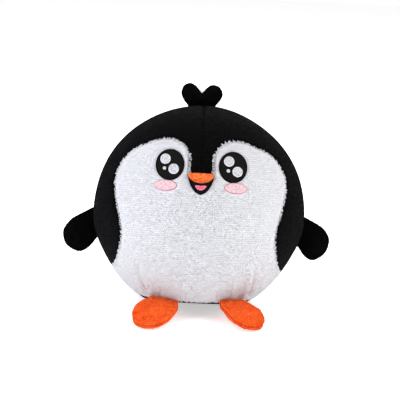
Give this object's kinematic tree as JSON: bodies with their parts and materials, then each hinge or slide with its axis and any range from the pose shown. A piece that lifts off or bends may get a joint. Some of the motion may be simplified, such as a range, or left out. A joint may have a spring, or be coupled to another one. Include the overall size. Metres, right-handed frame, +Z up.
{
  "type": "plush penguin",
  "caption": "Round foam-filled plush penguin with a white front, embroidered face, padded beak, heart-shaped tuft, stuffed flippers and orange feet.",
  "frame": {"origin": "on the table under the toy, at the middle of its box in plan", "axes": "+Z up, the face looks along -Y, and the penguin's own left flipper is at +X"},
  "size_m": [0.1155, 0.092, 0.0938],
  "materials": {
    "white_plush": "matte",
    "black_plush": "matte",
    "orange_plush": "matte",
    "black_thread": "satin",
    "white_thread": "satin",
    "pale_pink_thread": "satin",
    "rose_thread": "satin",
    "wadding": "matte",
    "foam": "matte"
  },
  "bodies": {
    "body": {"foam_core": "foam", "belly_panel": "white_plush", "head_panel_left": "black_plush", "head_panel_right": "black_plush", "back_panel_left": "black_plush", "back_panel_right": "black_plush", "base_panel": "black_plush", "closing_stitches": "black_thread", "left_eye": "black_thread", "right_eye": "black_thread", "left_eye_glints": "white_thread", "right_eye_glints": "white_thread", "left_cheek": "pale_pink_thread", "right_cheek": "pale_pink_thread", "beak": "orange_plush", "beak_padding": "wadding", "mouth": "black_thread", "tongue": "rose_thread"},
    "left_flipper": {"left_flipper_front": "black_plush", "left_flipper_back": "black_plush", "left_flipper_fill": "wadding"},
    "right_flipper": {"right_flipper_front": "black_plush", "right_flipper_back": "black_plush", "right_flipper_fill": "wadding"},
    "left_foot": {"left_foot_top": "orange_plush", "left_foot_sole": "orange_plush", "left_foot_fill": "wadding"},
    "right_foot": {"right_foot_top": "orange_plush", "right_foot_sole": "orange_plush", "right_foot_fill": "wadding"},
    "tuft": {"tuft_front": "black_plush", "tuft_back": "black_plush", "tuft_fill": "wadding"}
  },
  "joints": [
    {"name": "left_flipper_swing", "type": "hinge", "parent": "body", "child": "left_flipper", "pos_m": [0.04488, -0.00089, 0.03268], "axis": [-0.165, -0.2219, -0.961], "range_deg": [-70, 70], "stiffness_Nm_per_rad": 0.0008},
    {"name": "right_flipper_swing", "type": "hinge", "parent": "body", "child": "right_flipper", "pos_m": [-0.04488, -0.00089, 0.03268], "axis": [-0.165, 0.2219, 0.961], "range_deg": [-70, 70], "stiffness_Nm_per_rad": 0.0008},
    {"name": "left_foot_flap", "type": "hinge", "parent": "body", "child": "left_foot", "pos_m": [0.01595, -0.02683, 0.00756], "axis": [-0.8557, -0.4961, 0.147], "range_deg": [-45, 40], "stiffness_Nm_per_rad": 0.002},
    {"name": "right_foot_flap", "type": "hinge", "parent": "body", "child": "right_foot", "pos_m": [-0.0134, -0.02794, 0.00737], "axis": [-0.9397, 0.342, 0], "range_deg": [-45, 40], "stiffness_Nm_per_rad": 0.002},
    {"name": "tuft_nod", "type": "hinge", "parent": "body", "child": "tuft", "pos_m": [-0.00095, 0.01103, 0.08432], "axis": [0.9998, 0.0047, 0.0204], "range_deg": [-60, 60], "stiffness_Nm_per_rad": 0.0006}
  ]
}
